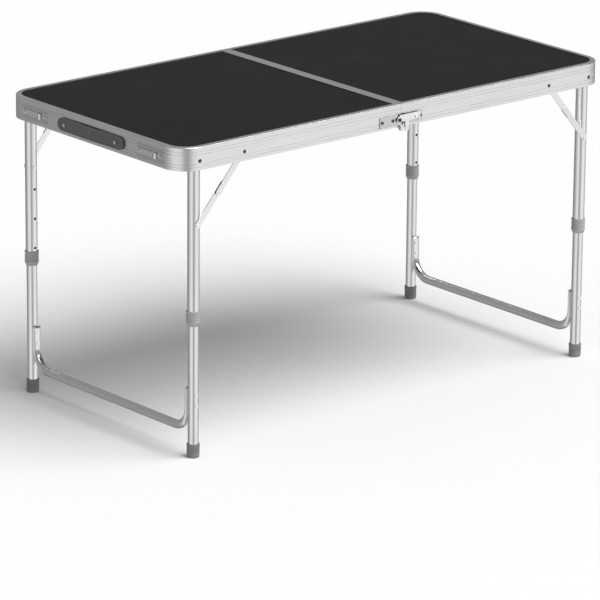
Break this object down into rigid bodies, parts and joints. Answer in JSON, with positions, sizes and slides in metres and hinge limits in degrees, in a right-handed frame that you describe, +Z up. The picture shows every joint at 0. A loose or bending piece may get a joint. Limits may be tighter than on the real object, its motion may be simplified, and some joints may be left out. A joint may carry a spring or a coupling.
{
  "type": "folding table",
  "caption": "Folding camping table with a black board top in ribbed aluminium rails and telescopic tube legs, shown open at full height.",
  "frame": {"origin": "middle of the footprint, on the floor", "axes": "+X along the length towards the half with the keepers, +Y across the width towards the back, +Z up"},
  "size_m": [1.2143, 0.6156, 0.68],
  "materials": {
    "rail": "satin anodised extrusion with fine ribs",
    "top_black": "matt black laminate",
    "tube": "satin anodised tube",
    "zinc": "zinc plated sheet",
    "steel_bright": "bright plated",
    "strip_steel": "bright rolled strip",
    "spring_steel": "blued spring steel",
    "collar_grey": "mid grey moulded plastic",
    "plug_black": "black moulded plastic",
    "foot_rubber": "dark grey rough rubber",
    "handle_grey": "dark grey flexible plastic"
  },
  "bodies": {
    "left_half": {"edge_rail_left": "rail", "seam_rail_left": "rail", "board_left": "top_black", "stiffener_left": "rail", "corner_brackets_left": "zinc", "rail_rivets_left": "steel_bright", "hinge_plates_left": "zinc", "latch_plates": "zinc", "latch_rivets": "steel_bright", "handle_tabs": "handle_grey", "handle_studs": "steel_bright"},
    "hinge_pin_set": {"hinge_pins": "steel_bright"},
    "right_half": {"edge_rail_right": "rail", "seam_rail_right": "rail", "board_right": "top_black", "stiffener_right": "rail", "corner_brackets_right": "zinc", "rail_rivets_right": "steel_bright", "hinge_plates_right": "zinc", "lock_studs": "steel_bright", "latch_keepers": "zinc"},
    "lock_front": {"lock_hook_front": "steel_bright"},
    "lock_back": {"lock_hook_back": "steel_bright"},
    "latch_front": {"latch_hook_front": "steel_bright"},
    "latch_back": {"latch_hook_back": "steel_bright"},
    "handle": {"handle_grip": "handle_grey"},
    "left_leg_upper": {"leg_tube_left_front": "tube", "leg_tube_left_back": "tube", "leg_plugs_left": "plug_black", "leg_collars_left": "collar_grey", "leg_rivets_left": "steel_bright"},
    "left_leg_lower": {"lower_tube_left_front": "tube", "lower_tube_left_back": "tube", "foot_bar_left": "tube", "feet_left": "foot_rubber", "bar_rivets_left": "steel_bright", "button_springs_left": "spring_steel"},
    "left_brace_upper": {"brace_upper_left": "strip_steel", "knuckle_rivets_left": "steel_bright"},
    "left_brace_lower": {"brace_lower_left": "strip_steel"},
    "left_button_front": {"button_left_front": "steel_bright"},
    "left_button_back": {"button_left_back": "steel_bright"},
    "right_leg_upper": {"leg_tube_right_front": "tube", "leg_tube_right_back": "tube", "leg_plugs_right": "plug_black", "leg_collars_right": "collar_grey", "leg_rivets_right": "steel_bright"},
    "right_leg_lower": {"lower_tube_right_front": "tube", "lower_tube_right_back": "tube", "foot_bar_right": "tube", "feet_right": "foot_rubber", "bar_rivets_right": "steel_bright", "button_springs_right": "spring_steel"},
    "right_brace_upper": {"brace_upper_right": "strip_steel", "knuckle_rivets_right": "steel_bright"},
    "right_brace_lower": {"brace_lower_right": "strip_steel"},
    "right_button_front": {"button_right_front": "steel_bright"},
    "right_button_back": {"button_right_back": "steel_bright"}
  },
  "joints": [
    {"name": "hinge_fold_left", "type": "hinge", "parent": "hinge_pin_set", "child": "left_half", "pos_m": [0, 0, 0.629], "axis": [0, -1, 0], "range_deg": [0, 90]},
    {"name": "hinge_fold_right", "type": "hinge", "parent": "hinge_pin_set", "child": "right_half", "pos_m": [0, 0, 0.629], "axis": [0, 1, 0], "range_deg": [0, 90]},
    {"name": "left_leg_fold", "type": "hinge", "parent": "left_half", "child": "left_leg_upper", "pos_m": [-0.55, 0, 0.65], "axis": [0, -1, 0], "range_deg": [0, 90]},
    {"name": "left_leg_slide", "type": "slide", "parent": "left_leg_upper", "child": "left_leg_lower", "axis": [0, 0, 1], "range_m": [0, 0.132]},
    {"name": "left_brace_upper_fold", "type": "hinge", "parent": "left_half", "child": "left_brace_upper", "pos_m": [-0.431, 0, 0.65], "axis": [0, 1, 0], "range_deg": [0, 49.63]},
    {"name": "left_brace_lower_fold", "type": "hinge", "parent": "left_leg_upper", "child": "left_brace_lower", "pos_m": [-0.55, 0, 0.51], "axis": [0, -1, 0], "range_deg": [0, 40.37]},
    {"name": "left_button_front_press", "type": "slide", "parent": "left_leg_lower", "child": "left_button_front", "axis": [0, 1, 0], "range_m": [0, 0.0034], "stiffness_N_per_m": 500, "springref_m": 0.0034},
    {"name": "left_button_back_press", "type": "slide", "parent": "left_leg_lower", "child": "left_button_back", "axis": [0, -1, 0], "range_m": [0, 0.0034], "stiffness_N_per_m": 500, "springref_m": 0.0034},
    {"name": "right_leg_fold", "type": "hinge", "parent": "right_half", "child": "right_leg_upper", "pos_m": [0.55, 0, 0.65], "axis": [0, 1, 0], "range_deg": [0, 90]},
    {"name": "right_leg_slide", "type": "slide", "parent": "right_leg_upper", "child": "right_leg_lower", "axis": [0, 0, 1], "range_m": [0, 0.132]},
    {"name": "right_brace_upper_fold", "type": "hinge", "parent": "right_half", "child": "right_brace_upper", "pos_m": [0.431, 0, 0.65], "axis": [0, -1, 0], "range_deg": [0, 49.63]},
    {"name": "right_brace_lower_fold", "type": "hinge", "parent": "right_leg_upper", "child": "right_brace_lower", "pos_m": [0.55, 0, 0.51], "axis": [0, 1, 0], "range_deg": [0, 40.37]},
    {"name": "right_button_front_press", "type": "slide", "parent": "right_leg_lower", "child": "right_button_front", "axis": [0, 1, 0], "range_m": [0, 0.0034], "stiffness_N_per_m": 500, "springref_m": 0.0034},
    {"name": "right_button_back_press", "type": "slide", "parent": "right_leg_lower", "child": "right_button_back", "axis": [0, -1, 0], "range_m": [0, 0.0034], "stiffness_N_per_m": 500, "springref_m": 0.0034},
    {"name": "lock_front_lift", "type": "hinge", "parent": "left_half", "child": "lock_front", "pos_m": [-0.008, -0.3054, 0.647], "axis": [0, -1, 0], "range_deg": [0, 30]},
    {"name": "lock_back_lift", "type": "hinge", "parent": "left_half", "child": "lock_back", "pos_m": [-0.008, 0.3054, 0.647], "axis": [0, -1, 0], "range_deg": [0, 30]},
    {"name": "latch_front_swing", "type": "hinge", "parent": "left_half", "child": "latch_front", "pos_m": [-0.6025, -0.163, 0.653], "axis": [1, 0, 0], "range_deg": [0, 90]},
    {"name": "latch_back_swing", "type": "hinge", "parent": "left_half", "child": "latch_back", "pos_m": [-0.6025, 0.231, 0.653], "axis": [1, 0, 0], "range_deg": [0, 90]},
    {"name": "handle_pull", "type": "slide", "parent": "left_half", "child": "handle", "axis": [-1, 0, 0], "range_m": [0, 0.012], "stiffness_N_per_m": 60}
  ],
  "couplings": [
    {"joint": "left_leg_fold", "follows": "hinge_fold_left", "ratio": 1},
    {"joint": "left_leg_slide", "follows": "hinge_fold_left", "m_per_rad": 0.084034},
    {"joint": "left_brace_upper_fold", "follows": "hinge_fold_left", "ratio": 0.55151},
    {"joint": "left_brace_lower_fold", "follows": "hinge_fold_left", "ratio": 0.44849},
    {"joint": "right_leg_fold", "follows": "hinge_fold_right", "ratio": 1},
    {"joint": "right_leg_slide", "follows": "hinge_fold_right", "m_per_rad": 0.084034},
    {"joint": "right_brace_upper_fold", "follows": "hinge_fold_right", "ratio": 0.55151},
    {"joint": "right_brace_lower_fold", "follows": "hinge_fold_right", "ratio": 0.44849}
  ]
}
